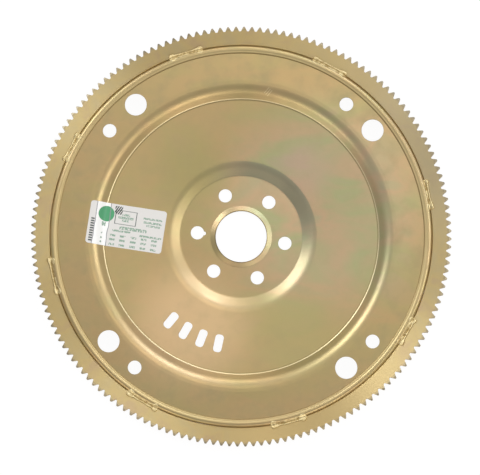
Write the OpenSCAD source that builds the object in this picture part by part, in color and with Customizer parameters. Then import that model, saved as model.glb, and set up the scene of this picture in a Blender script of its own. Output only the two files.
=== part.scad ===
// Flexplate: a dished steel plate that bolts to a crankshaft, with a starter ring gear welded to its rim.
// The axis is Z. The rear face of the hub, which meets the crankshaft, lies at z = 0.
// +Z points to the torque converter, which bolts to the outer face of the plate.

/* [Pressed plate] */
// Thickness of the sheet
sheet_t = 3.2; // [2.5:0.1:3.6]
// Radius of the flat hub, to the foot of its slope
hub_flat_r = 52.8; // [50:0.2:54]
// Width of the slope round the hub, measured along the radius
hub_slope_w = 9.7; // [8:0.1:12]
// Angle of the slope round the hub, from flat
hub_slope_deg = 22; // [15:1:30]
// Angle of the shallow dish between the hub and the step
dish_deg = 2.5; // [1:0.5:4]
// How far the crease at the foot of the step lies inside the circle of converter holes
crease_inset = 26.65; // [25.3:0.05:29.2]
// Height of the step from the crease to the converter face
step_rise = 7.4; // [6:0.1:8]
// Angle of the wall of the step, from flat
step_deg = 41; // [36:1:44]
// Front radius of the soft bend at the top of the step
step_bend_r = 14; // [10:0.5:16]
// Angle of the eased shoulder between that bend and the converter face
shoulder_deg = 4; // [2:0.5:6]
// Front radius of the bend from the shoulder to the converter face
shoulder_bend_r = 40; // [30:1:50]
// Straight part of the shoulder
shoulder_run = 0.2; // [0.1:0.1:1]
// Front radius of the soft bend at the top of the slope round the hub
hub_bend_r = 20; // [10:1:24]
// Front radius of the hollow bend at the foot of the hub's slope
hub_foot_bend_r = 4; // [2:0.5:5]
// Front radius of the hollow bend at the foot of the step
crease_bend_r = 6.5; // [4:0.5:8]
// Front radius of the tight inner corners at the collar and the rim
tight_bend_r = 1.2; // [0.5:0.1:1.6]

/* [Rim flange] */
// How far outside the circle of converter holes the rim starts to kick up
kick_outset = 12.36; // [11.6:0.02:12.8]
// Angle of the two kicks, from flat
kick_deg = 24; // [18:1:28]
// Straight part of the ledge between the two kicks, and of each kick
rim_run = 0.05; // [0.02:0.01:0.2]
// How much the front radius of the bend onto the ledge exceeds the thickness of the sheet
ledge_ease = 0.2; // [0.1:0.1:0.6]
// Outer radius of the bend into the flange
flange_bend_r = 3.4; // [3.3:0.1:4.2]
// How far the flange ends short of the rear face of the ring gear
flange_short = 1; // [0:0.1:3]

/* [Pilot hole] */
// Diameter of the pilot hole
pilot_d = 44.2; // [42:0.1:46]
// Width of the drawn collar round the pilot hole
collar_w = 4.5; // [3:0.1:6]
// Slope of the collar, from flat
collar_deg = 26; // [15:1:35]
// Edge break at the front of the pilot hole
pilot_break = 0.3; // [0.2:0.1:0.8]

/* [Crankshaft bolts] */
// Diameter of the circle of crankshaft bolts
crank_pcd = 76.2; // [74:0.1:78]
// Diameter of each crankshaft bolt hole
crank_hole_d = 11.6; // [10:0.1:12.5]
// Number of crankshaft bolt holes
crank_bolts = 6; // [4:1:8]
// Angle of the first crankshaft bolt hole
crank_start_deg = 51.4; // [40:0.1:60]
// Which hole, counted from the first, is out of step
odd_bolt = 3; // [1:1:4]
// How far the odd hole is turned, so that the plate fits one way only
odd_turn_deg = 3.4; // [1:0.1:5]
// Width of the notch in the odd hole
notch_w = 3.4; // [2:0.1:5]
// Reach of the notch past the edge of the odd hole, towards the axis
notch_reach = 1.7; // [0.5:0.1:2.5]

/* [Converter holes] */
// Diameter of the circle of converter holes
converter_pcd = 290.5; // [286:0.5:294]
// Diameter of each converter stud hole
stud_hole_d = 11.9; // [10:0.1:13]
// Diameter of each access hole
access_hole_d = 19; // [16:0.1:21]
// Angle between a stud hole and its access hole
hole_pair_deg = 12.6; // [11:0.1:15]
// Number of hole pairs
hole_pairs = 4; // [3:1:6]
// Angle of the middle of the first hole pair
pair_start_deg = 45; // [40:0.5:50]
// Edge break at the front of the round holes
hole_break = 0.2; // [0.1:0.05:0.6]

/* [Slots] */
// Number of radial slots
slot_count = 4; // [1:1:6]
// How far the middles of the slots lie inside the crease
slot_inset = 24.4; // [18:0.2:32]
// Length of a slot along the radius
slot_l = 15.4; // [12:0.1:18]
// Width of a slot
slot_w = 7.4; // [6:0.1:9]
// Corner radius of a slot
slot_corner_r = 2.9; // [1:0.1:3.6]
// Angle of the first slot
slot_start_deg = 230.3; // [220:0.1:240]
// Angle from slot to slot
slot_step_deg = 9.3; // [8:0.1:12]

/* [Ring gear] */
// Number of teeth
teeth = 164; // [157:1:168]
// Wall of the ring between its seat and the roots of the teeth
ring_wall = 12.2; // [10.5:0.05:13]
// Depth of a tooth
tooth_depth = 4.1; // [3.6:0.1:4.5]
// Height of a tooth above its pitch circle
addendum = 2.2; // [1.6:0.05:2.4]
// Pressure angle of the tooth flanks
pressure_deg = 27; // [20:0.5:30]
// Play between tooth and space on the pitch circle
backlash = 0.1; // [0.1:0.05:0.5]
// Largest size of the fillet at the root of a tooth
root_fillet = 0.5; // [0.2:0.1:0.6]
// Angle of the first tooth
first_tooth_deg = -0.8; // [-1.1:0.1:1.1]
// Width of the ring gear along the axis
gear_w = 10; // [8:0.5:11]
// How far the front of the ring gear lies behind the converter face
gear_set_back = 1; // [0.5:0.1:1.5]
// Clearance of the ring gear on its seat
gear_fit = 0.05; // [0:0.01:0.1]
// Radial width of the lead-in chamfer at the front of the teeth
lead_in = 1.8; // [0.8:0.1:2.5]
// Slope of that chamfer, from flat
lead_in_deg = 32; // [20:1:50]
// Edge break on the other edges of the ring gear
gear_break = 0.5; // [0.2:0.1:0.8]

/* [Welds] */
// Radius of the crown of a weld bead
bead_r = 4.3; // [4:0.1:4.6]
// How far the middle of a bead lies inside the seat of the ring gear
bead_inset = 1.7; // [1.4:0.1:2]
// How far the middle of a bead lies below the front of the ring gear
bead_sink = 1.4; // [1.2:0.1:1.6]
// Depth of weld metal in the groove, below the front of the ring gear
bead_root = 1.4; // [0.8:0.1:1.6]
// How far the round that ends a bead passes over its middle, which leaves the middle even
bead_even = 0.8; // [0.4:0.1:2]

/* [Inspection label] */
// Length of the label
label_l = 65.5; // [60:0.5:70]
// Height of the label
label_h = 37; // [30:0.5:40]
// Corner radius of the label
label_corner_r = 2.5; // [1:0.1:4]
// Thickness of the film
label_t = 0.2; // [0.15:0.01:0.3]
// Thickness of the adhesive under the film
glue_t = 0.03; // [0.02:0.01:0.08]
// Turn of the label
label_turn_deg = -8.6; // [-15:0.1:0]
// How far the middle of the label lies inside the crease, along X
label_inset = 19.7; // [19.5:0.1:22]
// Place of the middle of the label along Y
label_y = 7.8; // [5:0.1:10]

/* [Hidden] */
$fn = 96;
fine_fn = 240;
margin = 1;
arc_step = 5;
fillet_share = 0.8;

// Middle and length of each stitch weld round the rim, in degrees
weld_spans = [
    [12.4, 9.2], [62.3, 11.4], [106.8, 10.6], [152.4, 9.6],
    [192.2, 11.4], [239.3, 10.6], [284.6, 11], [330.1, 9.2]
];

pilot_r = pilot_d / 2;
converter_r = converter_pcd / 2;
crease_r = converter_r - crease_inset;
kick_r = converter_r + kick_outset;
ledge_bend_r = sheet_t + ledge_ease;
tight_reach = tight_bend_r * tan(kick_deg / 2);
ledge_w = tight_reach + ledge_bend_r * tan(kick_deg / 2) + rim_run;
ledge_r = kick_r + ledge_w * cos(kick_deg);
ledge_end_r = ledge_r + ledge_w;
flange_w = (tight_reach + rim_run + flange_bend_r * tan(45 + kick_deg / 2)) * cos(kick_deg);
flange_r = ledge_end_r + flange_w;
collar_rise = collar_w * tan(collar_deg);
hub_top_r = hub_flat_r + hub_slope_w;
hub_top_z = sheet_t + hub_slope_w * tan(hub_slope_deg);
crease_z = hub_top_z + (crease_r - hub_top_r) * tan(dish_deg);
face_z = crease_z + step_rise;
ledge_z = face_z + ledge_w * sin(kick_deg);
step_reach = step_bend_r * tan((step_deg - shoulder_deg) / 2);
shoulder_reach = shoulder_bend_r * tan(shoulder_deg / 2);
shoulder_l = step_reach + shoulder_run + shoulder_reach;
shoulder_r = crease_r + (step_rise - shoulder_l * sin(shoulder_deg)) / tan(step_deg);
gear_front_z = face_z - gear_set_back;
gear_rear_z = gear_front_z - gear_w;
gear_bore_r = flange_r + gear_fit;
bead_centre_r = flange_r - bead_inset;
root_r = gear_bore_r + ring_wall;
tip_r = root_r + tooth_depth;
pitch_r = tip_r - addendum;
base_r = pitch_r * cos(pressure_deg);
half_tooth_deg = 90 / teeth - backlash / 4 / pitch_r * 180 / PI;
through_h = face_z + flange_bend_r + margin;

// Corners of the front face of the sheet as [radius, height], from the pilot hole to the end of the flange
collar_start = [pilot_r - margin, sheet_t + collar_rise + margin * tan(collar_deg)];
collar_foot = [pilot_r + collar_w, sheet_t];
hub_edge = [hub_flat_r, sheet_t];
hub_top = [hub_top_r, hub_top_z];
crease = [crease_r, crease_z];
step_top = [shoulder_r, face_z - shoulder_l * sin(shoulder_deg)];
shoulder_end = [shoulder_r + shoulder_l * cos(shoulder_deg), face_z];
kick_foot = [kick_r, face_z];
ledge_start = [ledge_r, ledge_z];
ledge_end = [ledge_end_r, ledge_z];
kick_top = [flange_r, ledge_z + flange_w * tan(kick_deg)];
flange_end = [flange_r, gear_rear_z + flange_short];

// Direction of travel from one corner to the next
function heading(a, b) = atan2(b[1] - a[1], b[0] - a[0]);

// A corner with no bend, as [radius, height, heading]
function start_of(a, b) = [a[0], a[1], heading(a, b)];

// Bend of radius r at corner b, as [radius, height, heading] steps along the front face
function bend(a, b, c, r) =
    let (
        start = heading(a, b),
        turn = heading(b, c) - start,
        side = sign(turn),
        foot = b - r * tan(abs(turn) / 2) * [cos(start), sin(start)],
        middle = foot + side * r * [-sin(start), cos(start)],
        steps = ceil(abs(turn) / arc_step)
    )
    [for (i = [0 : steps])
        let (h = start + turn * i / steps)
        [middle[0] + side * r * sin(h), middle[1] - side * r * cos(h), h]];

// Front face of the dish and the step, which also carries the label
dish_path = concat(
    bend(hub_edge, hub_top, crease, hub_bend_r),
    bend(hub_top, crease, step_top, crease_bend_r),
    bend(crease, step_top, shoulder_end, step_bend_r),
    bend(step_top, shoulder_end, kick_foot, shoulder_bend_r),
    bend(shoulder_end, kick_foot, ledge_start, tight_bend_r)
);

// Front face of the whole sheet
sheet_path = concat(
    [start_of(collar_start, collar_foot)],
    bend(collar_start, collar_foot, hub_edge, tight_bend_r),
    bend(collar_foot, hub_edge, hub_top, hub_foot_bend_r),
    dish_path,
    bend(kick_foot, ledge_start, ledge_end, ledge_bend_r),
    bend(ledge_start, ledge_end, kick_top, tight_bend_r),
    bend(ledge_end, kick_top, flange_end, flange_bend_r),
    [[flange_end[0], flange_end[1], heading(kick_top, flange_end)]]
);

// A path moved off the front face by d, forwards where d is positive
function skin(path, d) = [for (p = path) [p[0] - d * sin(p[2]), p[1] + d * cos(p[2])]];

// The strip between two distances off the front face
function strip(path, near, far) =
    let (back = skin(path, far))
    concat(skin(path, near), [for (i = [len(back) - 1 : -1 : 0]) back[i]]);

function polar(r, a) = r * [cos(a), sin(a)];

module plate_section() {
    polygon(strip(sheet_path, 0, -sheet_t));
}

// Round hole with an edge break where it meets the front face at height z
module round_hole(d, z) {
    translate([0, 0, -margin])
        cylinder(d = d, h = z + 2 * margin);
    translate([0, 0, z - hole_break])
        cylinder(r1 = d / 2, r2 = d / 2 + hole_break + margin, h = hole_break + margin);
}

module rounded_rectangle(l, h, r) {
    square([l - 2 * r, h], center = true);
    square([l, h - 2 * r], center = true);
    for (x = [-1, 1], y = [-1, 1])
        translate([x * (l / 2 - r), y * (h / 2 - r)])
            circle(r = r);
}

module pilot_hole() {
    collar_top_z = sheet_t + collar_rise;
    translate([0, 0, -margin])
        cylinder(r = pilot_r, h = through_h);
    translate([0, 0, collar_top_z - pilot_break])
        cylinder(r1 = pilot_r, r2 = pilot_r + pilot_break + margin, h = pilot_break + margin);
}

// Round-ended notch in the odd bolt hole, open to the hole and reaching towards the axis
module notch() {
    reach = crank_hole_d / 2 + notch_reach - notch_w / 2;
    translate([-reach, 0, -margin]) {
        cylinder(d = notch_w, h = sheet_t + 2 * margin);
        translate([0, -notch_w / 2, 0])
            cube([reach, notch_w, sheet_t + 2 * margin]);
    }
}

// Bolt holes in even steps, with the odd one turned and notched
module crank_holes() {
    for (i = [1 : crank_bolts]) {
        odd = i == odd_bolt;
        rotate(crank_start_deg + 360 / crank_bolts * (i - 1) + (odd ? odd_turn_deg : 0))
            translate([crank_pcd / 2, 0, 0]) {
                round_hole(crank_hole_d, sheet_t);
                if (odd) notch();
            }
    }
}

// Stud holes and their access holes, in pairs round the converter face
module converter_holes() {
    for (i = [0 : hole_pairs - 1], side = [-1, 1])
        rotate(pair_start_deg + 360 / hole_pairs * i + side * hole_pair_deg / 2)
            translate([converter_r, 0, 0])
                round_hole(side > 0 ? stud_hole_d : access_hole_d, face_z);
}

module slots() {
    for (i = [0 : slot_count - 1])
        rotate(slot_start_deg + slot_step_deg * i)
            translate([crease_r - slot_inset, 0, 0])
                linear_extrude(through_h)
                    rounded_rectangle(slot_l, slot_w, slot_corner_r);
}

// One pressing: hub, dish, step and converter face, with a rim that kicks up and turns down
module pressed_plate() {
    color("#b9a56e")
        difference() {
            rotate_extrude() plate_section();
            pilot_hole();
            crank_holes();
            converter_holes();
            slots();
        }
}

// Half angle of a tooth at radius r, on an involute flank
function involute_deg(r) = sqrt(pow(r / base_r, 2) - 1) * 180 / PI - acos(base_r / r);
function half_tooth_at(r) = half_tooth_deg + involute_deg(pitch_r) - involute_deg(r);

// Fillet at the root, kept within the space between two teeth
root_space_deg = 180 / teeth - half_tooth_at(root_r);
fillet_deg = min(root_fillet / root_r * 180 / PI, fillet_share * root_space_deg);
fillet = fillet_deg * PI / 180 * root_r;

// Half outline of a tooth as [radius, half angle], from its root fillet to its tip
half_tooth = concat(
    [[root_r, half_tooth_at(root_r) + fillet_deg]],
    [for (r = [root_r + fillet, pitch_r, tip_r]) [r, half_tooth_at(r)]]
);

// Whole outline of the tooth at angle a, anticlockwise
function tooth(a) = concat(
    [for (p = half_tooth) polar(p[0], a - p[1])],
    [for (i = [len(half_tooth) - 1 : -1 : 0]) polar(half_tooth[i][0], a + half_tooth[i][1])]
);

// Section of the ring, with its bore, edge breaks and the lead-in chamfer of the teeth
module gear_section() {
    polygon([
        [gear_bore_r, gear_rear_z + gear_break],
        [gear_bore_r + gear_break, gear_rear_z],
        [tip_r - gear_break, gear_rear_z],
        [tip_r + margin, gear_rear_z + gear_break + margin],
        [tip_r + margin, gear_front_z - (lead_in + margin) * tan(lead_in_deg)],
        [tip_r - lead_in, gear_front_z],
        [gear_bore_r + gear_break, gear_front_z],
        [gear_bore_r, gear_front_z - gear_break]
    ]);
}

// Starter ring: a turned ring with its teeth cut straight across
module ring_gear() {
    color("#b5a77e")
        intersection() {
            rotate_extrude() gear_section();
            translate([0, 0, gear_rear_z - margin])
                linear_extrude(gear_w + 2 * margin)
                    polygon([for (i = [0 : teeth - 1]) each tooth(first_tooth_deg + 360 / teeth * i)]);
        }
}

// Weld metal in the groove between the bend of the rim and the ring gear, with a round crown
module bead_section() {
    wall_r = flange_r - sheet_t / 2;
    outer_r = bead_centre_r + bead_r;
    difference() {
        intersection() {
            translate([bead_centre_r, gear_front_z - bead_sink])
                circle(r = bead_r);
            polygon([
                [bead_centre_r - bead_r, gear_front_z],
                [wall_r, gear_front_z],
                [wall_r, gear_front_z - bead_root],
                [outer_r, gear_front_z - bead_root],
                [outer_r, gear_front_z + bead_r],
                [bead_centre_r - bead_r, gear_front_z + bead_r]
            ]);
        }
        plate_section();
        gear_section();
    }
}

// One stitch weld, whose crown falls away to both ends
module weld_bead(span) {
    half_l = bead_centre_r * sin(span[1] / 2);
    fall = bead_r - bead_sink + bead_even;
    fall_r = (half_l * half_l + fall * fall) / (2 * fall);
    color("#d8c48a")
        rotate(span[0])
            intersection() {
                rotate(-span[1] / 2)
                    rotate_extrude(angle = span[1], $fn = fine_fn) bead_section();
                translate([bead_centre_r, 0, gear_front_z + fall - fall_r])
                    sphere(r = fall_r, $fn = fine_fn);
            }
}

// Printed film that follows the dish, the step and the edge of the converter face
module inspection_label() {
    color("#f2f2ee")
        intersection() {
            rotate_extrude() polygon(strip(dish_path, glue_t, glue_t + label_t));
            translate([label_inset - crease_r, label_y, 0])
                rotate(label_turn_deg)
                    linear_extrude(through_h)
                        rounded_rectangle(label_l, label_h, label_corner_r);
        }
}

pressed_plate();
ring_gear();
for (i = [1 : len(weld_spans)])
    weld_bead(weld_spans[i - 1]);
inspection_label();
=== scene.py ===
import math

import bmesh
import bpy
from mathutils import Matrix, Vector


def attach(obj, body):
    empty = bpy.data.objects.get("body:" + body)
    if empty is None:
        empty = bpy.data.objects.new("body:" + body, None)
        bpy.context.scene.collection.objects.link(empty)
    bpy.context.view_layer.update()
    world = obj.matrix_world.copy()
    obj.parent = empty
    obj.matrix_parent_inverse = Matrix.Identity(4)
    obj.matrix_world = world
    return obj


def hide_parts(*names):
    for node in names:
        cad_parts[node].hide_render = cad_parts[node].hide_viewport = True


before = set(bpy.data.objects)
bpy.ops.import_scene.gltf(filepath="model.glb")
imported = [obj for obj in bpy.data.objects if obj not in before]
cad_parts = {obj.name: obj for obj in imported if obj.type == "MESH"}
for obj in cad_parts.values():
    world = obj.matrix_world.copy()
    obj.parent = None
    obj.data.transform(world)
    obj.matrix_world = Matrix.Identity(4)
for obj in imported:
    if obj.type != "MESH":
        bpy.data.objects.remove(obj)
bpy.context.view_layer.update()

# Pressed plate
# One disc of 3.2 mm low-carbon steel sheet, drawn into a dish in a press and pierced on the way.
# Its rim kicks up and turns down into the flange that the ring gear is pushed onto.
MM = 0.001
sheet_t = 3.2
pilot_r, collar_w, collar_deg = 22.1, 4.5, 26
hub_flat_r, hub_slope_w, hub_slope_deg, dish_deg = 52.8, 9.7, 22, 2.5
converter_r, crease_inset, step_rise, step_deg = 145.25, 26.65, 7.4, 41
kick_outset, kick_deg, rim_run, ledge_ease = 12.36, 24, 0.05, 0.2
tight_bend, hub_foot_bend, hub_bend, crease_bend, step_bend, flange_bend = 1.2, 4, 20, 3, 14, 3.4
shoulder_deg, shoulder_bend, shoulder_run = 4, 40, 0.2
gear_set_back, gear_w, flange_short = 1, 10, 1
overrun = 1

hub_top_r = hub_flat_r + hub_slope_w
hub_top_z = sheet_t + hub_slope_w * math.tan(math.radians(hub_slope_deg))
crease_r = converter_r - crease_inset
crease_z = hub_top_z + (crease_r - hub_top_r) * math.tan(math.radians(dish_deg))
face_z = crease_z + step_rise
shoulder_l = shoulder_run + shoulder_bend * math.tan(math.radians(shoulder_deg / 2))
shoulder_l += step_bend * math.tan(math.radians((step_deg - shoulder_deg) / 2))
shoulder_rise = shoulder_l * math.sin(math.radians(shoulder_deg))
shoulder_r = crease_r + (step_rise - shoulder_rise) / math.tan(math.radians(step_deg))
kick = math.radians(kick_deg)
ledge_bend = sheet_t + ledge_ease
kick_r = converter_r + kick_outset
ledge_w = (tight_bend + ledge_bend) * math.tan(kick / 2) + rim_run
ledge_r = kick_r + ledge_w * math.cos(kick)
ledge_z = face_z + ledge_w * math.sin(kick)
flange_w = tight_bend * math.tan(kick / 2) + rim_run + flange_bend * math.tan(math.pi / 4 + kick / 2)
flange_w *= math.cos(kick)
flange_r = ledge_r + ledge_w + flange_w
collar_top_z = sheet_t + collar_w * math.tan(math.radians(collar_deg))
gear_front_z = face_z - gear_set_back
gear_rear_z = gear_front_z - gear_w


def heading(a, b):
    """Direction of travel from a to b in the section, in radians."""
    return math.atan2(b[1] - a[1], b[0] - a[0])


def bend(a, b, c, r, step=math.radians(4)):
    """A bend of radius r at corner b, as (radius, height, heading) steps along the front face."""
    start = heading(a, b)
    turn = heading(b, c) - start
    side = math.copysign(1, turn)
    reach = r * math.tan(abs(turn) / 2)
    middle_r = b[0] - reach * math.cos(start) - side * r * math.sin(start)
    middle_z = b[1] - reach * math.sin(start) + side * r * math.cos(start)
    steps = math.ceil(abs(turn) / step)
    along = [start + turn * i / steps for i in range(steps + 1)]
    return [(middle_r + side * r * math.sin(h), middle_z - side * r * math.cos(h), h) for h in along]


def eased(path, guard=0.5, longest=6):
    """The path with more steps on its straights, and one close to each bend, which keeps the flats flat."""
    out = [path[0]]
    for a, b in zip(path, path[1:]):
        length = math.dist(a[:2], b[:2])
        if length > 2.5 * guard:
            between = max(1, round((length - 2 * guard) / longest))
            shares = [(guard + (length - 2 * guard) * i / between) / length for i in range(between + 1)]
            out += [(a[0] + (b[0] - a[0]) * s, a[1] + (b[1] - a[1]) * s, b[2]) for s in shares]
        out.append(b)
    return out


collar_start = (pilot_r - overrun, collar_top_z + overrun * math.tan(math.radians(collar_deg)))
corners = [
    collar_start,
    (pilot_r + collar_w, sheet_t),
    (hub_flat_r, sheet_t),
    (hub_top_r, hub_top_z),
    (crease_r, crease_z),
    (shoulder_r, face_z - shoulder_rise),
    (shoulder_r + shoulder_l * math.cos(math.radians(shoulder_deg)), face_z),
    (kick_r, face_z),
    (ledge_r, ledge_z),
    (ledge_r + ledge_w, ledge_z),
    (flange_r, ledge_z + flange_w * math.tan(kick)),
    (flange_r, gear_rear_z + flange_short),
]
bends = [tight_bend, hub_foot_bend, hub_bend, crease_bend, step_bend, shoulder_bend, tight_bend, ledge_bend,
         tight_bend, flange_bend]
front = [(*collar_start, heading(corners[0], corners[1]))]
for a, b, c, r in zip(corners, corners[1:], corners[2:], bends):
    front += bend(a, b, c, r)
front.append((*corners[-1], -math.pi / 2))
front = eased(front)
rear = [(r + sheet_t * math.sin(h), z - sheet_t * math.cos(h)) for r, z, h in front]


def linear(hex_colour):
    """An sRGB hex colour as linear RGBA."""
    parts = [int(hex_colour[i:i + 2], 16) / 255 for i in (1, 3, 5)]
    return (*[p / 12.92 if p <= 0.04045 else ((p + 0.055) / 1.055) ** 2.4 for p in parts], 1)


def add(tree, kind, links=None, stops=(), **settings):
    """Adds a node to a tree. Settings are its properties, links give its sockets a value or a source,
    and stops are the places and hex colours along a colour ramp."""
    made = tree.nodes.new(kind)
    for name, value in settings.items():
        setattr(made, name, value)
    for socket, source in (links or {}).items():
        if isinstance(source, bpy.types.Node):
            source = source.outputs[0]
        if isinstance(source, bpy.types.NodeSocket):
            tree.links.new(source, made.inputs[socket])
        else:
            made.inputs[socket].default_value = source
    if stops:
        elements = made.color_ramp.elements
        for _ in stops[len(elements):]:
            elements.new(1)
        for element, (spot, colour) in zip(elements, stops):
            element.position, element.color = spot, linear(colour)
    return made


def open_tree(name, inputs):
    """A geometry tree with a Geometry input and output and the named inputs, and its input sockets."""
    tree = bpy.data.node_groups.new(name, "GeometryNodeTree")
    tree.interface.new_socket(name="Geometry", in_out="OUTPUT", socket_type="NodeSocketGeometry")
    for label, kind in {"Geometry": "Geometry", **inputs, "Material": "Material"}.items():
        tree.interface.new_socket(name=label, in_out="INPUT", socket_type="NodeSocket" + kind)
    return tree, add(tree, "NodeGroupInput").outputs


def close_tree(tree, geometry, material):
    """Ends a geometry tree in real meshes with their material."""
    real = add(tree, "GeometryNodeRealizeInstances", {"Geometry": geometry})
    painted = add(tree, "GeometryNodeSetMaterial", {"Geometry": real, "Material": material})
    add(tree, "NodeGroupOutput", {"Geometry": painted})


def grown(name, mesh, stages):
    """Runs geometry trees over a mesh, each with its named sizes, and gives a plain mesh object."""
    source = bpy.data.objects.new(name + "_source", mesh)
    bpy.context.collection.objects.link(source)
    for tree, sizes in stages:
        stage = source.modifiers.new(tree.name, "NODES")
        stage.node_group = tree
        for item in tree.interface.items_tree:
            if item.in_out == "INPUT" and item.name in sizes:
                stage[item.identifier] = sizes[item.name]
    seen = source.evaluated_get(bpy.context.evaluated_depsgraph_get())
    piece = bpy.data.objects.new(name, bpy.data.meshes.new_from_object(seen))
    bpy.data.objects.remove(source)
    bpy.context.collection.objects.link(piece)
    return piece


def crisp(piece, angle_deg):
    """Smooth shading, with the edges that turn more than the angle left sharp."""
    piece.data.shade_smooth()
    piece.data.set_sharp_from_angle(angle=math.radians(angle_deg))


def bare_material(name):
    """A new material with an empty node tree."""
    made = bpy.data.materials.new(name)
    made.use_nodes = True
    made.node_tree.nodes.clear()
    return made


def axis_distance(tree):
    """How far a point lies from the axis of the plate."""
    place = add(tree, "ShaderNodeTexCoord").outputs["Object"]
    flat = add(tree, "ShaderNodeVectorMath", {0: place, 1: (1, 1, 0)}, operation="MULTIPLY")
    return add(tree, "ShaderNodeVectorMath", {0: flat}, operation="LENGTH").outputs["Value"]


def nearness(tree, centre, full, gone, inside, outside=0.0):
    """A value that fades from inside to outside between two distances, in mm, from a centre."""
    place = add(tree, "ShaderNodeTexCoord").outputs["Object"]
    away = add(tree, "ShaderNodeVectorMath", {0: place, 1: Vector(centre) * MM}, operation="DISTANCE")
    return add(tree, "ShaderNodeMapRange", {
        "Value": away.outputs["Value"], "From Min": full * MM, "From Max": gone * MM, "To Min": inside,
        "To Max": outside}, interpolation_type="SMOOTHSTEP")


# The colour sockets of a Mix node: what it mixes from, what it mixes to, and what comes out
FROM, TO, MIXED = 6, 7, 2


def patched(tree, film, patches):
    """Lays soft patches on a film, each with its centre, full and faded reach in mm, share and tone."""
    for centre, full, gone, share, tone in patches:
        amount = nearness(tree, centre, full, gone, share)
        film = add(tree, "ShaderNodeMix", {0: amount, FROM: film, TO: linear(tone)}, data_type="RGBA")
        film = film.outputs[MIXED]
    return film


# Yellow chromate over bright zinc on rolled sheet: a semi-gloss gold whose thin film drifts to pink, green
# and grey in long streaks, strongest on the side where it drained, with warm and olive patches on the dish.
sheet_finish = bare_material("yellow_chromate_on_sheet")
tree = sheet_finish.node_tree
place = add(tree, "ShaderNodeTexCoord").outputs["Object"]
streak_mm, streak_shift = (62, 34, 100), (6.4, 4.6, 0)
stretched = add(tree, "ShaderNodeVectorMath", {
    0: place, 1: [1 / (size * MM) for size in streak_mm], 2: streak_shift}, operation="MULTIPLY_ADD")
streaks = add(tree, "ShaderNodeTexNoise", {
    "Vector": stretched, "Scale": 1.0, "Detail": 3.0, "Roughness": 0.5, "Distortion": 0.4})
fringe = add(tree, "ShaderNodeValToRGB", {"Fac": streaks}, stops=[
    (0.32, "#BDB18D"), (0.41, "#CAB08D"), (0.50, "#C0B28B"), (0.59, "#B5B588"), (0.68, "#BCB091")])
drained = nearness(tree, (68, 26, 10), 50, 116, 1.0, 0.3)
film = add(tree, "ShaderNodeMix", {0: drained, FROM: linear("#BFA571"), TO: fringe}, data_type="RGBA")
film = patched(tree, film.outputs[MIXED], [
    ((-44, -78, 8), 18, 70, 0.85, "#DCBE93"),
    ((-45, 55, 6), 8, 50, 0.65, "#B0A672"),
    ((52, -90, 8), 12, 58, 0.55, "#B4AD77"),
    ((57, 58, 7), 6, 34, 0.6, "#CDB098"),
])

# Handling leaves duller clouds, more of them on the outer face than in the dish
cloud_mm, handled_from_r, handled_to_r = 16, 127, 135
radius = axis_distance(tree)
clouds = add(tree, "ShaderNodeTexNoise", {"Vector": place, "Scale": 1 / (cloud_mm * MM), "Detail": 5.0})
handled = add(tree, "ShaderNodeMapRange", {
    "Value": radius, "From Min": handled_from_r * MM, "From Max": handled_to_r * MM, "To Min": 0.22,
    "To Max": 0.55})
dull = add(tree, "ShaderNodeMapRange", {
    "Value": clouds, "From Min": 0.46, "From Max": 0.74, "To Max": handled})
film = add(tree, "ShaderNodeMix", {0: dull, FROM: film, TO: linear("#A89C74")}, data_type="RGBA")

# Thin rings of painted light: painted shade in grey on one side of the hub's slope, at the pilot's edge and
# in the inner corners of the crease and the kick, a painted highlight on the crest of the crease, and painted
# light on the ledge. A line is a radius, half a width, a tone and a share.
painted_light_rings = [
    (hub_flat_r + 6.2, 6.2, "#A19E83", nearness(tree, (36, 43, 5), 20, 72, 0.85)),
    (pilot_r, 0.7, "#6F5A32", 0.75),
    (crease_r - 0.6, 0.5, "#8A7A50", 0.5),
    (crease_r + 0.3, 0.38, "#EADBAE", 0.72),
    (kick_r + 0.2, 0.5, "#7F683A", 0.6),
    (kick_r + 2.3, 1.6, "#D8C38E", 0.6),
]
for line_r, half_w, tone, share in painted_light_rings:
    on_line = add(tree, "ShaderNodeMath", {0: radius, 1: line_r * MM, 2: half_w * MM}, operation="COMPARE")
    amount = add(tree, "ShaderNodeMath", {0: on_line, 1: share}, operation="MULTIPLY")
    film = add(tree, "ShaderNodeMix", {
        0: amount, FROM: film.outputs[MIXED], TO: linear(tone)}, data_type="RGBA")

# A few parallel scratches cross the edge of the step
scratch_x, scratch_y, scratch_deg = 23.4, 124.5, -47
scratch_l, scratch_row, scratch_gap, scratch_w = 6.2, 5.6, 1.8, 0.5
turned = add(tree, "ShaderNodeVectorRotate", {
    "Vector": place, "Center": (scratch_x * MM, scratch_y * MM, 0), "Angle": math.radians(scratch_deg)},
    rotation_type="Z_AXIS")
across = add(tree, "ShaderNodeSeparateXYZ", {0: turned}).outputs
in_length = add(tree, "ShaderNodeMath", {
    0: across["X"], 1: scratch_x * MM, 2: scratch_l / 2 * MM}, operation="COMPARE")
in_row = add(tree, "ShaderNodeMath", {
    0: across["Y"], 1: scratch_y * MM, 2: scratch_row / 2 * MM}, operation="COMPARE")
beat = add(tree, "ShaderNodeMath", {0: across["Y"], 1: scratch_gap * MM}, operation="FLOORED_MODULO")
score = add(tree, "ShaderNodeMath", {0: beat, 1: scratch_w * MM}, operation="LESS_THAN")
patch = add(tree, "ShaderNodeMath", {0: in_length, 1: in_row}, operation="MULTIPLY")
scratch = add(tree, "ShaderNodeMath", {0: patch, 1: score}, operation="MULTIPLY")
film = add(tree, "ShaderNodeMix", {
    0: scratch, FROM: film.outputs[MIXED], TO: linear("#DCCD9F")}, data_type="RGBA")

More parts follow.
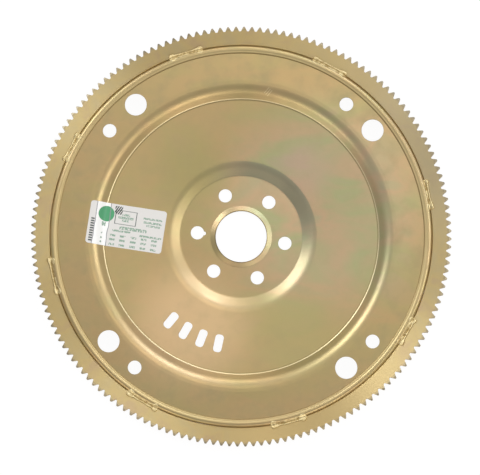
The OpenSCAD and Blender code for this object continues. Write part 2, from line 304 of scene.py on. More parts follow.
# The faint grain of the rolled steel shows through as a bump
grain_mm, grain_h = (9, 0.9, 10), 0.2
along = add(tree, "ShaderNodeVectorMath", {
    0: place, 1: [1 / (size * MM) for size in grain_mm]}, operation="MULTIPLY")
grain = add(tree, "ShaderNodeTexNoise", {"Vector": along, "Scale": 1.0, "Detail": 3.0, "Roughness": 0.6})
relief = add(tree, "ShaderNodeBump", {"Height": grain, "Strength": 0.10, "Distance": grain_h * MM})
rough = add(tree, "ShaderNodeMapRange", {
    "Value": clouds, "From Min": 0.3, "From Max": 0.7, "To Min": 0.34, "To Max": 0.42})
shader = add(tree, "ShaderNodeBsdfPrincipled", {
    "Base Color": film.outputs[MIXED], "Roughness": rough, "Normal": relief, "Metallic": 1.0})
add(tree, "ShaderNodeOutputMaterial", {"Surface": shader})

# The section is turned about the axis, and each row of holes is then punched through it
lathe, sizes_in = open_tree("turned_section", {"Segments": "Int", "Guide Radius": "Float"})
circle = add(lathe, "GeometryNodeCurvePrimitiveCircle", {
    "Resolution": sizes_in["Segments"], "Radius": sizes_in["Guide Radius"]})
upright = add(lathe, "GeometryNodeSetCurveNormal", {"Curve": circle}, mode="Z_UP")
outline = add(lathe, "GeometryNodeMeshToCurve", {"Mesh": sizes_in["Geometry"]})
swept = add(lathe, "GeometryNodeCurveToMesh", {"Curve": upright, "Profile Curve": outline})
close_tree(lathe, swept, sizes_in["Material"])

punch, sizes_in = open_tree("punched_row", {
    "Punch": "Object", "Count": "Int", "Pitch Radius": "Float", "First Angle": "Float",
    "Step Angle": "Float"})
number = add(punch, "GeometryNodeInputIndex")
turn = add(punch, "ShaderNodeMath", {
    0: number, 1: sizes_in["Step Angle"], 2: sizes_in["First Angle"]}, operation="MULTIPLY_ADD")
outward = add(punch, "ShaderNodeCombineXYZ", {"X": sizes_in["Pitch Radius"]})
centre = add(punch, "ShaderNodeVectorRotate", {"Vector": outward, "Angle": turn}, rotation_type="Z_AXIS")
spots = add(punch, "GeometryNodePoints", {"Count": sizes_in["Count"], "Position": centre})
tool = add(punch, "GeometryNodeObjectInfo", {"Object": sizes_in["Punch"]}).outputs["Geometry"]
tools = add(punch, "GeometryNodeInstanceOnPoints", {
    "Points": spots, "Instance": tool, "Rotation": add(punch, "ShaderNodeCombineXYZ", {"Z": turn})})
solid_tools = add(punch, "GeometryNodeRealizeInstances", {"Geometry": tools})
pierced = add(punch, "GeometryNodeMeshBoolean", {0: sizes_in["Geometry"], 1: solid_tools},
              operation="DIFFERENCE", solver="MANIFOLD")
close_tree(punch, pierced, sizes_in["Material"])


def stack(name, outlines):
    """A closed solid through a stack of outlines that have the same number of points."""
    shape = bmesh.new()
    rings = [[shape.verts.new(Vector(p) * MM) for p in outline] for outline in outlines]
    for low, high in zip(rings, rings[1:]):
        for i in range(len(low)):
            j = (i + 1) % len(low)
            shape.faces.new((low[i], low[j], high[j], high[i]))
    shape.faces.new(rings[0][::-1])
    shape.faces.new(rings[-1])
    mesh = bpy.data.meshes.new(name)
    shape.to_mesh(mesh)
    shape.free()
    return mesh


def punch_tool(name, outline, break_z, lip):
    """A punch of an outline, a function of how far it is grown, with a flare that breaks the front edge."""
    flare = 0.2 * lip
    levels = [(-overrun, 0), (break_z - lip, 0), (break_z + flare, lip + flare),
              (break_z + 4 * overrun, lip + flare)]
    mesh = stack(name, [[(x, y, z) for x, y in outline(grow)] for z, grow in levels])
    made = bpy.data.objects.new(name, mesh)
    bpy.context.collection.objects.link(made)
    return made


def disc(r, steps=72):
    """The outline of a round punch, as a function of how far it is grown."""
    return lambda grow: [((r + grow) * math.cos(a), (r + grow) * math.sin(a))
                         for a in (math.tau * i / steps for i in range(steps))]


def rounded_box(l, w, r, steps=10):
    """The outline of an oblong punch with round corners, as a function of how far it is grown."""
    x, y = l / 2 - r, w / 2 - r
    middles = [(x, y), (-x, y), (-x, -y), (x, -y)]
    return lambda grow: [(x + (r + grow) * math.cos(a), y + (r + grow) * math.sin(a))
                         for q, (x, y) in enumerate(middles)
                         for a in (math.pi / 2 * (q + i / steps) for i in range(steps + 1))]


def keyhole(r, w, reach, steps=72, end_steps=12):
    """The outline of a round punch with a round-ended notch towards the axis, as a function of its growth."""
    def outline(grow):
        big, small = r + grow, w / 2 + grow
        centre = -(r + reach - w / 2)
        mouth = math.pi - math.asin(small / big)
        arc = [(big * math.cos(a), big * math.sin(a))
               for a in (-mouth + 2 * mouth * i / steps for i in range(steps + 1))]
        end = [(centre + small * math.cos(a), small * math.sin(a))
               for a in (math.pi / 2 + math.pi * i / end_steps for i in range(end_steps + 1))]
        return arc + end
    return outline


crank_r, crank_hole_r, crank_start_deg, odd_turn_deg = 38.1, 5.8, 51.4, 3.4
notch_w, notch_reach = 3.4, 1.7
stud_r, access_r, pair_deg, hole_lip, pilot_lip = 5.95, 9.5, 12.6, 0.2, 0.3
slot_inset, slot_l, slot_w, slot_corner_r, slot_start_deg, slot_step_deg = 24.4, 15.4, 7.4, 2.9, 230.3, 9.3
slot_r = crease_r - slot_inset
slot_z = hub_top_z + (slot_r - hub_top_r) * math.tan(math.radians(dish_deg))
pilot_punch = punch_tool("pilot_punch", disc(pilot_r, 192), collar_top_z, pilot_lip)
round_punch = punch_tool("crank_punch", disc(crank_hole_r), sheet_t, hole_lip)
odd_punch = punch_tool("odd_crank_punch", keyhole(crank_hole_r, notch_w, notch_reach), sheet_t, hole_lip)
stud_punch = punch_tool("stud_punch", disc(stud_r), face_z, hole_lip)
access_punch = punch_tool("access_punch", disc(access_r, 96), face_z, hole_lip)
slot_punch = punch_tool("slot_punch", rounded_box(slot_l, slot_w, slot_corner_r), slot_z, hole_lip)
rows = [
    (pilot_punch, 1, 0, 0, 0),
    (round_punch, 2, crank_r, crank_start_deg, 60),
    (odd_punch, 1, crank_r, crank_start_deg + 120 + odd_turn_deg, 0),
    (round_punch, 3, crank_r, crank_start_deg + 180, 60),
    (stud_punch, 4, converter_r, 45 + pair_deg / 2, 90),
    (access_punch, 4, converter_r, 45 - pair_deg / 2, 90),
    (slot_punch, 4, slot_r, slot_start_deg, slot_step_deg),
]
guide_r, segments = 100, 360
loop = [((r - guide_r) * MM, -z * MM, 0) for r, z in [p[:2] for p in front] + rear[::-1]]
section = bpy.data.meshes.new("plate_section")
section.from_pydata(loop, [(i, (i + 1) % len(loop)) for i in range(len(loop))], [])
stages = [(lathe, {"Segments": segments, "Guide Radius": guide_r * MM, "Material": sheet_finish})]
for tool, count, r, first_deg, step_angle_deg in rows:
    stages.append((punch, {
        "Punch": tool, "Count": count, "Pitch Radius": r * MM, "First Angle": math.radians(first_deg),
        "Step Angle": math.radians(step_angle_deg), "Material": sheet_finish}))
plate = grown("dished_plate", section, stages)
for tool in {row[0] for row in rows}:
    bpy.data.objects.remove(tool)
crisp(plate, 14)
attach(plate, "root")
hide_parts("pressed_plate")

# Ring gear
# A bar of medium-carbon steel rolled into a hoop, turned flat, cut with 164 teeth and hardened at the tips.
# It is pushed hot onto the plate's flange, and the front of its teeth slopes to lead the starter pinion in.
teeth, tooth_depth, addendum, pressure_deg, backlash, root_fillet = 164, 4.1, 2.2, 27, 0.1, 0.5
gear_fit, ring_wall, lead_in, lead_in_deg, gear_break, first_tooth_deg = 0.05, 12.2, 1.8, 32, 0.5, -0.8
bore_r = flange_r + gear_fit
root_r = bore_r + ring_wall
tip_r = root_r + tooth_depth
pitch_r = tip_r - addendum
base_r = pitch_r * math.cos(math.radians(pressure_deg))
half_pitch = math.pi / teeth


def involute(r):
    """How far an involute flank has turned at radius r."""
    return math.sqrt((r / base_r) ** 2 - 1) - math.acos(base_r / r)


def half_tooth(r):
    """Half the angle of a tooth at radius r."""
    return half_pitch / 2 - backlash / 4 / pitch_r + involute(pitch_r) - involute(r)


fillet_top = root_r + root_fillet
fillet = [(root_r + root_fillet * s * s, half_tooth(fillet_top) + root_fillet / root_r * (1 - s) ** 2)
          for s in (0, 0.3, 0.6)]
flank = [(r, half_tooth(r)) for r in (fillet_top, root_r + 1.4, tip_r - lead_in, tip_r - 0.9, tip_r)]


def front_at(r):
    """Height of the front of the ring at radius r, which slopes back over the lead-in."""
    return gear_front_z - max(0, r - (tip_r - lead_in)) * math.tan(math.radians(lead_in_deg))


def rear_at(r):
    """Height of the rear of the ring at radius r, with its edge break."""
    return gear_rear_z + max(0, r - (tip_r - gear_break))


# One tooth with half a space on each side: front, rear and the wall between, from the bore out to the tip
wedge = bmesh.new()


def row_of(r, angles, z):
    """A row of points at one radius and height, in metres."""
    return [(r * math.cos(a) * MM, r * math.sin(a) * MM, z * MM) for a in angles]


def face_between(a, b):
    """Joins two rows of points with faces."""
    for i in range(len(a) - 1):
        wedge.faces.new([wedge.verts.new(p) for p in (a[i], a[i + 1], b[i + 1], b[i])])


spread = [-half_pitch, -fillet[0][1], fillet[0][1], half_pitch]
bands = [(bore_r, gear_front_z - gear_break, gear_rear_z + gear_break)]
bands += [(r, gear_front_z, gear_rear_z)
          for r in [bore_r + gear_break] + [bore_r + ring_wall * s for s in (0.35, 0.7, 1)]]
for (r0, front0, rear0), (r1, front1, rear1) in zip(bands, bands[1:]):
    face_between(row_of(r0, spread, front0), row_of(r1, spread, front1))
    face_between(row_of(r1, spread, rear1), row_of(r0, spread, rear0))
r0, front0, rear0 = bands[0]
face_between(row_of(r0, spread, rear0), row_of(r0, spread, front0))
for gap in (spread[:2], spread[2:]):
    face_between(row_of(root_r, gap, gear_front_z), row_of(root_r, gap, gear_rear_z))
tooth_rows = [(r, (-a, a)) for r, a in fillet + flank]
for (r0, pair0), (r1, pair1) in zip(tooth_rows, tooth_rows[1:]):
    face_between(row_of(r0, pair0, front_at(r0)), row_of(r1, pair1, front_at(r1)))
    face_between(row_of(r1, pair1, rear_at(r1)), row_of(r0, pair0, rear_at(r0)))
    for a0, a1 in zip(pair0, pair1):
        face_between(row_of(r0, [a0], front_at(r0)) + row_of(r1, [a1], front_at(r1)),
                     row_of(r0, [a0], rear_at(r0)) + row_of(r1, [a1], rear_at(r1)))
face_between(row_of(tip_r, pair1, front_at(tip_r)), row_of(tip_r, pair1, rear_at(tip_r)))
bmesh.ops.remove_doubles(wedge, verts=wedge.verts, dist=1e-6)
tooth = bpy.data.meshes.new("one_tooth")
wedge.to_mesh(tooth)
wedge.free()

# The same plating on a turned ring: fine rings from the lathe stretch each highlight into a bow tie, the film
# is greyer on one side, darker as painted shade near the top and paler as a painted highlight on the lower
# right where the bow tie shines, and the hardened tooth tips come out grey.
gear_finish = bare_material("yellow_chromate_on_turned_steel")
tree = gear_finish.node_tree
place = add(tree, "ShaderNodeTexCoord").outputs["Object"]
radius = axis_distance(tree)
ring_mm, ring_h, patch_mm, lean_deg, grey_w = 0.7, 0.2, 17, 6, 1
patches = add(tree, "ShaderNodeTexNoise", {
    "Vector": place, "Scale": 1 / (patch_mm * MM), "Detail": 4.0, "Distortion": 0.5})
film = add(tree, "ShaderNodeValToRGB", {"Fac": patches}, stops=[
    (0.32, "#C9B186"), (0.47, "#CFB983"), (0.58, "#CCB886"), (0.70, "#C9B688")])
# Greyer film on one side, painted shade near the top, and a painted highlight on the lower right
film = patched(tree, film, [
    ((150, 85, 10), 30, 120, 0.55, "#C9BD9E"),
    ((84, 152, 10), 25, 72, 0.6, "#B7A374"),
    ((73, -157, 10), 50, 105, 1.0, "#E2C98F"),
])
tips = add(tree, "ShaderNodeMapRange", {
    "Value": radius, "From Min": root_r * MM, "From Max": (tip_r - grey_w) * MM, "To Max": 0.85})
film = add(tree, "ShaderNodeMix", {0: tips, FROM: film, TO: linear("#A79D88")}, data_type="RGBA")

# The flat face leans by a few degrees in its bump alone, under the rings that the lathe left
rings = add(tree, "ShaderNodeTexNoise", {
    "Vector": add(tree, "ShaderNodeCombineXYZ", {"X": radius}), "Scale": 1 / (ring_mm * MM), "Detail": 3.0})
rough = add(tree, "ShaderNodeMapRange", {
    "Value": rings, "From Min": 0.3, "From Max": 0.7, "To Min": 0.38, "To Max": 0.44})
cone = add(tree, "ShaderNodeMath", {0: radius, 1: math.tan(math.radians(lean_deg))}, operation="MULTIPLY")
leaning = add(tree, "ShaderNodeBump", {"Height": cone, "Strength": 1.0, "Distance": 1.0})
relief = add(tree, "ShaderNodeBump", {
    "Height": rings, "Strength": 0.12, "Distance": ring_h * MM, "Normal": leaning})
around = add(tree, "ShaderNodeTangent", direction_type="RADIAL", axis="Z")
shader = add(tree, "ShaderNodeBsdfPrincipled", {
    "Base Color": film.outputs[MIXED], "Roughness": rough, "Normal": relief, "Metallic": 1.0,
    "Anisotropic": 0.95, "Anisotropic Rotation": 0.25, "Tangent": around})
add(tree, "ShaderNodeOutputMaterial", {"Surface": shader})

hoop, sizes_in = open_tree("teeth_in_a_ring", {
    "Count": "Int", "First Angle": "Float", "Weld Distance": "Float"})
number = add(hoop, "GeometryNodeInputIndex")
step = add(hoop, "ShaderNodeMath", {0: math.tau, 1: sizes_in["Count"]}, operation="DIVIDE")
turn = add(hoop, "ShaderNodeMath", {0: number, 1: step, 2: sizes_in["First Angle"]}, operation="MULTIPLY_ADD")
copies = add(hoop, "GeometryNodeInstanceOnPoints", {
    "Points": add(hoop, "GeometryNodePoints", {"Count": sizes_in["Count"]}), "Instance": sizes_in["Geometry"],
    "Rotation": add(hoop, "ShaderNodeCombineXYZ", {"Z": turn})})
wedges = add(hoop, "GeometryNodeRealizeInstances", {"Geometry": copies})
welded = add(hoop, "GeometryNodeMergeByDistance", {"Geometry": wedges, "Distance": sizes_in["Weld Distance"]})
close_tree(hoop, welded, sizes_in["Material"])
gear = grown("starter_ring_gear", tooth, [(hoop, {
    "Count": teeth, "First Angle": math.radians(first_tooth_deg), "Weld Distance": 2e-6,
    "Material": gear_finish})])
faces = bmesh.new()
faces.from_mesh(gear.data)
bmesh.ops.recalc_face_normals(faces, faces=faces.faces)
faces.to_mesh(gear.data)
faces.free()
burr_w, burr_deg = 0.15, 28
burr = gear.modifiers.new("deburred_edges", "BEVEL")
burr.width, burr.segments, burr.harden_normals = burr_w * MM, 2, True
burr.limit_method, burr.angle_limit = "ANGLE", math.radians(burr_deg)
crisp(gear, burr_deg)
deburred = bpy.data.meshes.new_from_object(gear.evaluated_get(bpy.context.evaluated_depsgraph_get()))
gear.modifiers.clear()
gear.data = deburred
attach(gear, "root")
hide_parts("ring_gear")

# Stitch welds
# Eight short runs of weld metal across the groove between the rim and the ring, laid by hand after the ring
# is on. Each starts and stops in a thick blob, with a thinner run between, and is plated over with the rest.
weld_outset, weld_sway, weld_drift_l, weld_lump_l, weld_lump_h = 0.15, 0.9, 8, 3.2, 1.1
weld_spans = [(12.4, 9.2), (62.3, 11.4), (106.8, 10.6), (152.4, 9.6), (192.2, 11.4), (239.3, 10.6),
              (284.6, 11), (330.1, 9.2)]

# The same plating on rough weld metal, with a painted highlight that makes the crests pale and bright and
# painted shade that makes the hollow brown
bead_finish = bare_material("yellow_chromate_on_weld")
tree = bead_finish.node_tree
mottle_mm, mottle_lift, mottle_h, hollow_h, crest_h = 1.6, 0.9, 0.4, 0.65, 1.25
place = add(tree, "ShaderNodeTexCoord").outputs["Object"]
height = add(tree, "ShaderNodeSeparateXYZ", {0: place}).outputs["Z"]
mottle = add(tree, "ShaderNodeTexNoise", {"Vector": place, "Scale": 1 / (mottle_mm * MM), "Detail": 3.0})
high = add(tree, "ShaderNodeMath", {0: mottle, 1: mottle_lift * MM, 2: height}, operation="MULTIPLY_ADD")
# Painted highlight on the crests and painted shade in the hollow, set by height
crest = add(tree, "ShaderNodeMapRange", {
    "Value": high, "From Min": (gear_front_z + hollow_h) * MM, "From Max": (gear_front_z + crest_h) * MM})
film = add(tree, "ShaderNodeMix", {
    0: crest, FROM: linear("#A68C58"), TO: linear("#E3D2A0")}, data_type="RGBA")
relief = add(tree, "ShaderNodeBump", {"Height": mottle, "Strength": 0.4, "Distance": mottle_h * MM})
shader = add(tree, "ShaderNodeBsdfPrincipled", {
    "Base Color": film.outputs[MIXED], "Roughness": 0.4, "Normal": relief, "Metallic": 1.0})
add(tree, "ShaderNodeOutputMaterial", {"Surface": shader})

# The run's path is an arc along the groove that sways a little, as the hand does
bead, sizes_in = open_tree("weld_run", {
    "Path Radius": "Float", "Height": "Float", "Middle": "Float", "Length": "Float", "Sway": "Float",
    "Lump Size": "Float", "Lump Height": "Float", "Seed": "Float"})
start = add(bead, "ShaderNodeMath", {
    0: sizes_in["Length"], 1: -0.5, 2: sizes_in["Middle"]}, operation="MULTIPLY_ADD")
arc = add(bead, "GeometryNodeCurveArc", {
    "Resolution": 110, "Radius": sizes_in["Path Radius"], "Start Angle": start,
    "Sweep Angle": sizes_in["Length"]})
upright = add(bead, "GeometryNodeSetCurveNormal", {"Curve": arc}, mode="Z_UP")
at = add(bead, "GeometryNodeInputPosition")
drift = add(bead, "ShaderNodeTexNoise", {
    "Vector": at, "W": sizes_in["Seed"], "Scale": 1 / (weld_drift_l * MM), "Detail": 1.0},
    noise_dimensions="4D")
swing = add(bead, "ShaderNodeMath", {0: drift, 1: 0.5}, operation="SUBTRACT")
aside = add(bead, "ShaderNodeMath", {0: swing, 1: sizes_in["Sway"]}, operation="MULTIPLY")
outward = add(bead, "ShaderNodeVectorMath", {0: at}, operation="NORMALIZE")
shift = add(bead, "ShaderNodeVectorMath", {0: outward, "Scale": aside}, operation="SCALE")
wavy = add(bead, "GeometryNodeSetPosition", {"Geometry": upright, "Offset": shift})

# A section with a toe on the lip, a hollow and a toe on the ring is swept along it, thick at both ends
outline = add(bead, "GeometryNodeMeshToCurve", {"Mesh": sizes_in["Geometry"]})
outline = add(bead, "GeometryNodeCurveSplineType", {"Curve": outline}, spline_type="CATMULL_ROM")
outline = add(bead, "GeometryNodeSetSplineResolution", {"Geometry": outline, "Resolution": 4})
along = add(bead, "GeometryNodeSplineParameter").outputs["Factor"]
thickness = add(bead, "ShaderNodeFloatCurve", {"Value": along})
shape = thickness.mapping.curves[0]
for share, thick in ((0.02, 0.6), (0.06, 1.0), (0.14, 0.9), (0.28, 0.62), (0.6, 0.56), (0.82, 0.72),
                     (0.92, 1.0), (0.98, 0.6)):
    shape.points.new(share, thick)
shape.points[0].location, shape.points[-1].location = (0, 0.1), (1, 0.1)
thickness.mapping.update()
run = add(bead, "GeometryNodeCurveToMesh", {
    "Curve": wavy, "Profile Curve": outline, "Scale": thickness, "Fill Caps": True})

# The run is then made lumpy and lifted to the front of the ring
lump_scale = add(bead, "ShaderNodeMath", {0: 1.0, 1: sizes_in["Lump Size"]}, operation="DIVIDE")
lumps = add(bead, "ShaderNodeTexNoise", {
    "W": sizes_in["Seed"], "Scale": lump_scale, "Detail": 2.0}, noise_dimensions="4D")
rise = add(bead, "ShaderNodeMath", {0: lumps, 1: 0.5}, operation="SUBTRACT")
swell = add(bead, "ShaderNodeMath", {0: rise, 1: sizes_in["Lump Height"]}, operation="MULTIPLY")
normal = add(bead, "GeometryNodeInputNormal")
push = add(bead, "ShaderNodeVectorMath", {0: normal, "Scale": swell}, operation="SCALE")
lumpy = add(bead, "GeometryNodeSetPosition", {"Geometry": run, "Offset": push})
lift = add(bead, "ShaderNodeCombineXYZ", {"Z": sizes_in["Height"]})
lifted = add(bead, "GeometryNodeTransform", {"Geometry": lumpy, "Translation": lift})
close_tree(bead, add(bead, "GeometryNodeSetShadeSmooth", {"Geometry": lifted}), sizes_in["Material"])

toes = [(-3.6, 1.2), (-2.7, 2.0), (-1.8, 1.4), (-0.5, 0.5), (0.8, 0.6), (1.8, 1.3), (2.7, 0.9), (3.2, -0.3),
        (0.5, -1.9), (-2.4, -0.4)]
weld_section = bpy.data.meshes.new("weld_section")
weld_section.from_pydata([(x * MM, -z * MM, 0) for x, z in toes],
                         [(i, (i + 1) % len(toes)) for i in range(len(toes))], [])
for i, (middle_deg, length_deg) in enumerate(weld_spans, 1):
    run = grown(f"stitch_weld_{i}", weld_section, [(bead, {
        "Path Radius": (flange_r + weld_outset) * MM, "Height": gear_front_z * MM,
        "Middle": math.radians(middle_deg), "Length": math.radians(length_deg), "Sway": weld_sway * MM,
        "Lump Size": weld_lump_l * MM, "Lump Height": weld_lump_h * MM, "Seed": 3.7 * i,
        "Material": bead_finish})])
    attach(run, "root")
    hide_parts(f"weld_bead_{i}")

# Inspection label
# A white polyester film, printed in green and grey, stuck over the dish and the step before packing.
# The film bridges the sharp crease a little, folds over the soft edge of the step and curls up at its end.
label_l, label_h, label_corner_r, label_turn_deg, label_inset, label_y = 65.5, 37, 2.5, -8.6, 19.7, 7.8
film_t, film_gap, film_bridge, curl_h, curl_l = 0.12, 0.05, 1.6, 0.5, 5
label_columns, label_rows = 132, 64
label_middle = Vector((label_inset - crease_r, label_y))
turn_c, turn_s = math.cos(math.radians(label_turn_deg)), math.sin(math.radians(label_turn_deg))


def front_height(r):
    """Height of the front face of the plate at radius r."""
    for a, b in zip(front, front[1:]):
        if a[0] <= r <= b[0]:
            s = (r - a[0]) / (b[0] - a[0]) if b[0] > a[0] else 0
            return a[1] + (b[1] - a[1]) * s
    return face_z


def film_height(r):
    """Height of the film, which rides over the crease on the mean of the heights around it."""
    around = [front_height(r + film_bridge * k / 3) for k in range(-3, 4)]
    return max(front_height(r), sum(around) / len(around)) + film_gap


sheet = bmesh.new()
grid = []
for j in range(label_rows + 1):
    # Rows lie closer together near the rounded corners
    even, close = 2 * j / label_rows - 1, -math.cos(math.pi * j / label_rows)
    y = label_h / 2 * (0.5 * close + 0.5 * even)
    past = max(0, abs(y) - (label_h / 2 - label_corner_r))
    half = label_l / 2 - label_corner_r + math.sqrt(max(0, label_corner_r ** 2 - past ** 2))
    row = []
    for i in range(label_columns + 1):
        x = half * (2 * i / label_columns - 1)
        at = label_middle + Vector((x * turn_c - y * turn_s, x * turn_s + y * turn_c))
        curl = curl_h * max(0, 1 - (x + label_l / 2) / curl_l) ** 2
        row.append((sheet.verts.new((at.x * MM, at.y * MM, (film_height(at.length) + curl) * MM)), x, y))
    grid.append(row)
uv = sheet.loops.layers.uv.new("print")
for low, high in zip(grid, grid[1:]):
    for i in range(label_columns):
        four = (low[i], low[i + 1], high[i + 1], high[i])
        face = sheet.faces.new([corner[0] for corner in four])
        for corner, (_, x, y) in zip(face.loops, four):
            corner[uv].uv = (x / label_l + 0.5, y / label_h + 0.5)
label_mesh = bpy.data.meshes.new("label_film")
sheet.to_mesh(label_mesh)
sheet.free()
label = bpy.data.objects.new("inspection_film", label_mesh)
bpy.context.collection.objects.link(label)
film_wall = label.modifiers.new("film_thickness", "SOLIDIFY")
film_wall.thickness, film_wall.offset = film_t * MM, 1
label.data = bpy.data.meshes.new_from_object(label.evaluated_get(bpy.context.evaluated_depsgraph_get()))
label.modifiers.clear()
crisp(label, 40)

# Printed polyester film: soft white and slightly glossy, with painted light that makes it whiter over the
# step, and thin grey lines of painted shade along the folds on both sides of it. The print is a plain disc, a
# frame, slanted bars and dashes that say nothing. Each mark is its middle and its size, as shares of the
# label.
film_finish = bare_material("printed_polyester_film")
tree = film_finish.node_tree
dashes = [(0.83, 0.763, 0.25, 0.045), (0.835, 0.675, 0.24, 0.05), (0.845, 0.60, 0.18, 0.045),
          (0.59, 0.464, 0.36, 0.075), (0.44, 0.385, 0.24, 0.045), (0.83, 0.345, 0.29, 0.045),
          (0.474, 0.775, 0.10, 0.05), (0.474, 0.705, 0.20, 0.055), (0.474, 0.64, 0.09, 0.05),
          (0.195, 0.50, 0.05, 0.10)]
dashes += [(u, v, 0.075, 0.05) for u in (0.334, 0.468, 0.612, 0.748, 0.887) for v in (0.27, 0.17, 0.06)]
dashes += [(0.19, v, 0.02, 0.045) for v in (0.28, 0.18, 0.08)]
inks = [
    ("#8CA592", "dash", dashes),
    ("#4F5A55", "frame", [(0.474, 0.708, 0.286, 0.33)]),
    ("#4E9B6C", "disc", [(0.215, 0.743, 0.205, 0.363)]),
    ("#3A423E", "bars", [(0.368, 0.864, 0.10, 0.19)]),
    ("#4A4F4C", "ticks", [(0.055, 0.33, 0.045, 0.55)]),
]
painted_light_from, painted_light_to, folds, fold_sway, fold_half_w = 0.087, 0.258, (0.085, 0.26), 0.03, 0.005
tick_gap, tick_w, bar_gap, bar_w, bar_slant = 2.1, 1.25, 1.9, 1.15, 0.55
frame_line, frame_half_w, dash_squeeze, dash_cut = 0.965, 0.035, 0.6, 0.44
spot = add(tree, "ShaderNodeUVMap", uv_map="print")
apart = add(tree, "ShaderNodeSeparateXYZ", {0: spot}).outputs
u_mm = add(tree, "ShaderNodeMath", {0: apart["X"], 1: label_l}, operation="MULTIPLY")
v_mm = add(tree, "ShaderNodeMath", {0: apart["Y"], 1: label_h}, operation="MULTIPLY")

# Dashes are broken by a noise of about 1 mm, and ticks and bars repeat along the label
squeezed = add(tree, "ShaderNodeMath", {0: v_mm, 1: dash_squeeze}, operation="MULTIPLY")
broken_place = add(tree, "ShaderNodeCombineXYZ", {"X": u_mm, "Y": squeezed})
broken = add(tree, "ShaderNodeTexNoise", {"Vector": broken_place, "Scale": 0.95, "Detail": 1.0})
tick_beat = add(tree, "ShaderNodeMath", {0: v_mm, 1: tick_gap}, operation="MODULO")
lean = add(tree, "ShaderNodeMath", {0: v_mm, 1: bar_slant}, operation="MULTIPLY")
slanted = add(tree, "ShaderNodeMath", {0: u_mm, 1: lean}, operation="SUBTRACT")
bar_beat = add(tree, "ShaderNodeMath", {0: slanted, 1: bar_gap}, operation="FLOORED_MODULO")
patterns = {
    "dash": add(tree, "ShaderNodeMath", {0: broken, 1: dash_cut}, operation="GREATER_THAN"),
    "ticks": add(tree, "ShaderNodeMath", {0: tick_beat, 1: tick_w}, operation="LESS_THAN"),
    "bars": add(tree, "ShaderNodeMath", {0: bar_beat, 1: bar_w}, operation="LESS_THAN"),
}
# Painted light: the film over the step is drawn lighter
past_start = add(tree, "ShaderNodeMath", {0: apart["X"], 1: painted_light_from}, operation="GREATER_THAN")
before_end = add(tree, "ShaderNodeMath", {0: apart["X"], 1: painted_light_to}, operation="LESS_THAN")
painted_light_band = add(tree, "ShaderNodeMath", {0: past_start, 1: before_end}, operation="MULTIPLY")
colour = add(tree, "ShaderNodeMix", {
    0: painted_light_band, FROM: linear("#D8D6D0"), TO: linear("#F2F2EE")}, data_type="RGBA")
for ink, kind, marks in inks:
    for u, v, w, h in marks:
        near = add(tree, "ShaderNodeVectorMath", {
            0: spot, 1: (2 / w, 2 / h, 0), 2: (-2 * u / w, -2 * v / h, 0)}, operation="MULTIPLY_ADD")
        if kind == "disc":
            reach = add(tree, "ShaderNodeVectorMath", {0: near}, operation="LENGTH").outputs["Value"]
        else:
            off = add(tree, "ShaderNodeVectorMath", {0: near}, operation="ABSOLUTE")
            off = add(tree, "ShaderNodeSeparateXYZ", {0: off}).outputs
            reach = add(tree, "ShaderNodeMath", {0: off["X"], 1: off["Y"]}, operation="MAXIMUM")
        mask = add(tree, "ShaderNodeMath", {0: reach, 1: 1.0}, operation="LESS_THAN")
        if kind == "frame":
            mask = add(tree, "ShaderNodeMath", {
                0: reach, 1: frame_line, 2: frame_half_w}, operation="COMPARE")
        if kind in patterns:
            mask = add(tree, "ShaderNodeMath", {0: mask, 1: patterns[kind]}, operation="MULTIPLY")
        colour = add(tree, "ShaderNodeMix", {
            0: mask, FROM: colour.outputs[MIXED], TO: linear(ink)}, data_type="RGBA")
waver = add(tree, "ShaderNodeTexNoise", {"Vector": spot, "Scale": 5.0, "Detail": 1.0})
# Painted shade: thin grey lines along the two folds
for fold in folds:
    fold_u = add(tree, "ShaderNodeMath", {
        0: waver, 1: fold_sway, 2: fold - fold_sway / 2}, operation="MULTIPLY_ADD")
    mask = add(tree, "ShaderNodeMath", {0: apart["X"], 1: fold_u, 2: fold_half_w}, operation="COMPARE")
    colour = add(tree, "ShaderNodeMix", {
        0: mask, FROM: colour.outputs[MIXED], TO: linear("#8D8D90")}, data_type="RGBA")
shader = add(tree, "ShaderNodeBsdfPrincipled", {
    "Base Color": colour.outputs[MIXED], "Roughness": 0.38, "IOR": 1.5})
add(tree, "ShaderNodeOutputMaterial", {"Surface": shader})
label.data.materials.clear()
label.data.materials.append(film_finish)
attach(label, "root")
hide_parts("inspection_label")

# Studio
# A pale sweep of paper under the plate, inside a ring of soft boxes that its bends mirror one by one.
# The paper glows white to the lens and to the metal, and still takes the plate's shadow.
floor_reach, floor_drop = 6, 0.02
floor_corners = [(-floor_reach, -floor_reach, 0), (floor_reach, -floor_reach, 0),
                 (floor_reach, floor_reach, 0), (-floor_reach, floor_reach, 0)]
floor_mesh = bpy.data.meshes.new("paper_sweep")
floor_mesh.from_pydata(floor_corners, [], [(0, 1, 2, 3)])
floor = bpy.data.objects.new("paper_sweep", floor_mesh)
floor.location.z = -floor_drop * MM
bpy.context.collection.objects.link(floor)

# White paper: bright and even to the eye, and a plain diffuse white to the light that falls on it
paper = bare_material("white_paper")
tree = paper.node_tree
path = add(tree, "ShaderNodeLightPath").outputs
seen = add(tree, "ShaderNodeMath", {0: path["Is Camera Ray"], 1: path["Is Glossy Ray"]}, operation="MAXIMUM")
seen = add(tree, "ShaderNodeMath", {0: seen, 1: path["Is Transmission Ray"]}, operation="MAXIMUM")
glow = add(tree, "ShaderNodeEmission", {"Color": (1, 1, 1, 1), "Strength": 0.95})
lit = add(tree, "ShaderNodeBsdfDiffuse", {"Color": (0.07, 0.07, 0.07, 1)})
both = add(tree, "ShaderNodeAddShader", {0: glow, 1: lit})
plain = add(tree, "ShaderNodeBsdfDiffuse", {"Color": (0.8, 0.8, 0.8, 1)})
mixed = add(tree, "ShaderNodeMixShader", {0: seen, 1: plain, 2: both})
add(tree, "ShaderNodeOutputMaterial", {"Surface": mixed})
floor.data.materials.append(paper)

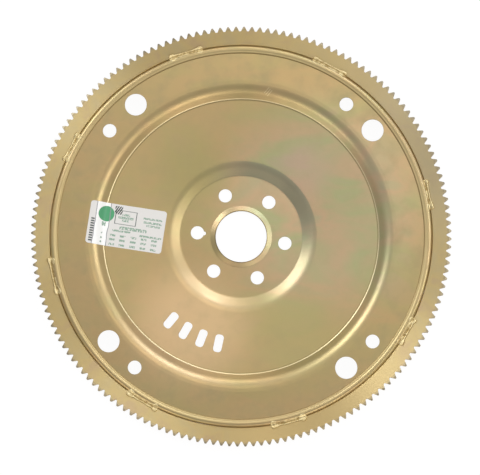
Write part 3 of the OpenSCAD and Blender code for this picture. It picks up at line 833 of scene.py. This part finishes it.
world = bpy.data.worlds.new("studio")
world.use_nodes = True
bpy.context.scene.world = world
tree = world.node_tree
tree.nodes.clear()
sky = add(tree, "ShaderNodeBackground", {"Color": (0.98, 0.97, 1, 1), "Strength": 0.47})
backdrop = add(tree, "ShaderNodeBackground", {"Color": (1, 1, 1, 1), "Strength": 1.0})
path = add(tree, "ShaderNodeLightPath").outputs
mixed = add(tree, "ShaderNodeMixShader", {0: path["Is Camera Ray"], 1: sky, 2: backdrop})
add(tree, "ShaderNodeOutputWorld", {"Surface": mixed})

# Each lamp is its azimuth and angle from overhead in degrees, width and height in metres, brightness and tint
lamp_away = 3.2
lamps = [
    ("box_right", 2, 48, 1.3, 1.1, 4.2, "#F6F8FF"),
    ("box_right_low", 32, 60, 1.1, 1.1, 1.55, "#FFFFFF"),
    ("box_upper_right", 64, 47, 1.3, 1.1, 4.2, "#E6EEFF"),
    ("box_top_low", 92, 62, 1.2, 1.2, 2.4, "#FFF6EE"),
    ("box_upper_left", 140, 48, 1.15, 1.1, 7.5, "#F2F6FF"),
    ("box_left_low", 236, 66, 2.2, 0.9, 2.2, "#FFF4E4"),
    ("box_bottom_low", 292, 60, 1.6, 1.1, 2.5, "#FFF6EA"),
    ("box_lower_right", 332, 50, 1.1, 1.1, 1.95, "#FFF8EA"),
    ("panel_overhead", 66, 15, 1.0, 1.0, 2.0, "#FFF6E4"),
]
for name, azimuth_deg, from_top_deg, wide, tall, radiance, tint in lamps:
    lamp = bpy.data.lights.new(name, "AREA")
    lamp.shape, lamp.size, lamp.size_y = "RECTANGLE", wide, tall
    lamp.energy = radiance * math.pi * wide * tall
    lamp.color = linear(tint)[:3]
    holder = bpy.data.objects.new(name, lamp)
    a, t = math.radians(azimuth_deg), math.radians(from_top_deg)
    back = Vector((math.sin(t) * math.cos(a), math.sin(t) * math.sin(a), math.cos(t)))
    side = Vector((-math.sin(a), math.cos(a), 0))
    holder.location = back * lamp_away
    holder.rotation_euler = Matrix((side, back.cross(side), back)).transposed().to_euler()
    holder.visible_camera = False
    bpy.context.collection.objects.link(holder)

# A long lens looks almost straight down the axis, a little from the right and from below
camera_away = 2.905
camera = bpy.data.cameras.new("camera")
camera.lens, camera.sensor_width = 253.5, 36
viewer = bpy.data.objects.new("camera", camera)
aim = Vector((-0.5, -1.6, face_z)) * MM
toward = Vector((0.0393, -0.0649, 1)).normalized()
across = Vector((-0.0024, 1, 0)).cross(toward).normalized()
viewer.location = aim + toward * camera_away
viewer.rotation_euler = Matrix((across, toward.cross(across), toward)).transposed().to_euler()
bpy.context.collection.objects.link(viewer)
bpy.context.scene.camera = viewer
bpy.context.scene.view_settings.view_transform = "Standard"
